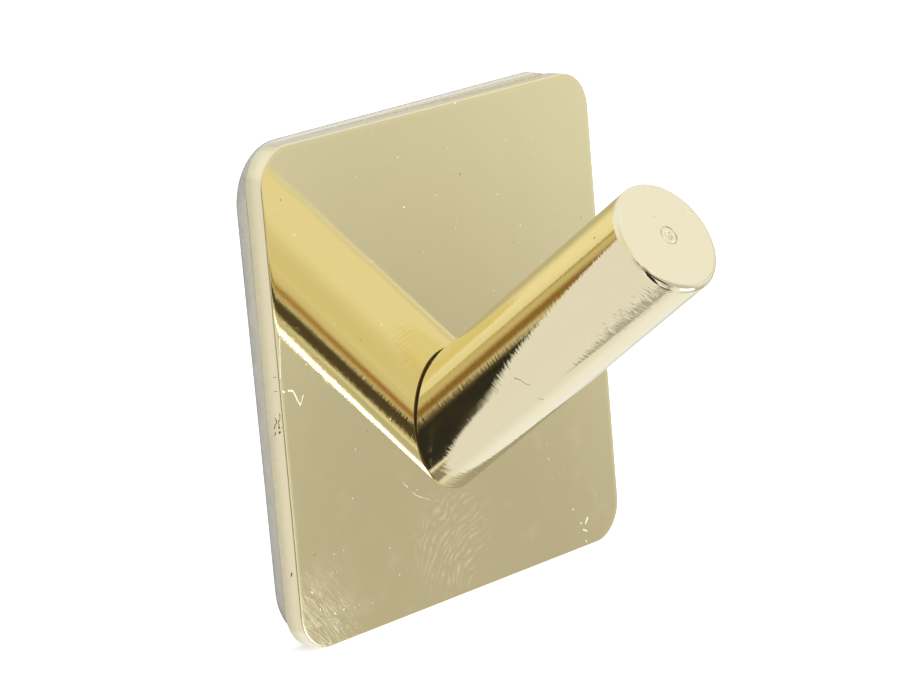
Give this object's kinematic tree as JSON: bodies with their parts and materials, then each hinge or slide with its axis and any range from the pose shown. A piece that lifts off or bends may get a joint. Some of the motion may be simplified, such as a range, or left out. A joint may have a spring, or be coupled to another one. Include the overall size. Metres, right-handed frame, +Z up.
{
  "type": "adhesive hook",
  "caption": "Wall hook: a round bar slopes up and out of a flat square plate of polished metal, which a foam pad sticks to the wall.",
  "frame": {"origin": "the middle of the face that goes on the wall, level with the middle of the plate", "axes": "+Y points into the wall, square to the wall face; +Z is up; +X is to the right for someone who faces the hook"},
  "size_m": [0.0502, 0.0358, 0.0504],
  "materials": {
    "polished_plate": "mirror polished, pale gold",
    "polished_peg": "turned and polished, pale gold, with fine marks round the bar",
    "screw_steel": "plain steel",
    "foam": "closed-cell foam, pale grey",
    "liner_film": "thin waxed film, mid grey"
  },
  "bodies": {
    "root": {"base_plate": "polished_plate", "peg": "polished_peg", "fixing_screw": "screw_steel", "adhesive_pad": "foam", "release_liner": "liner_film"}
  },
  "joints": []
}
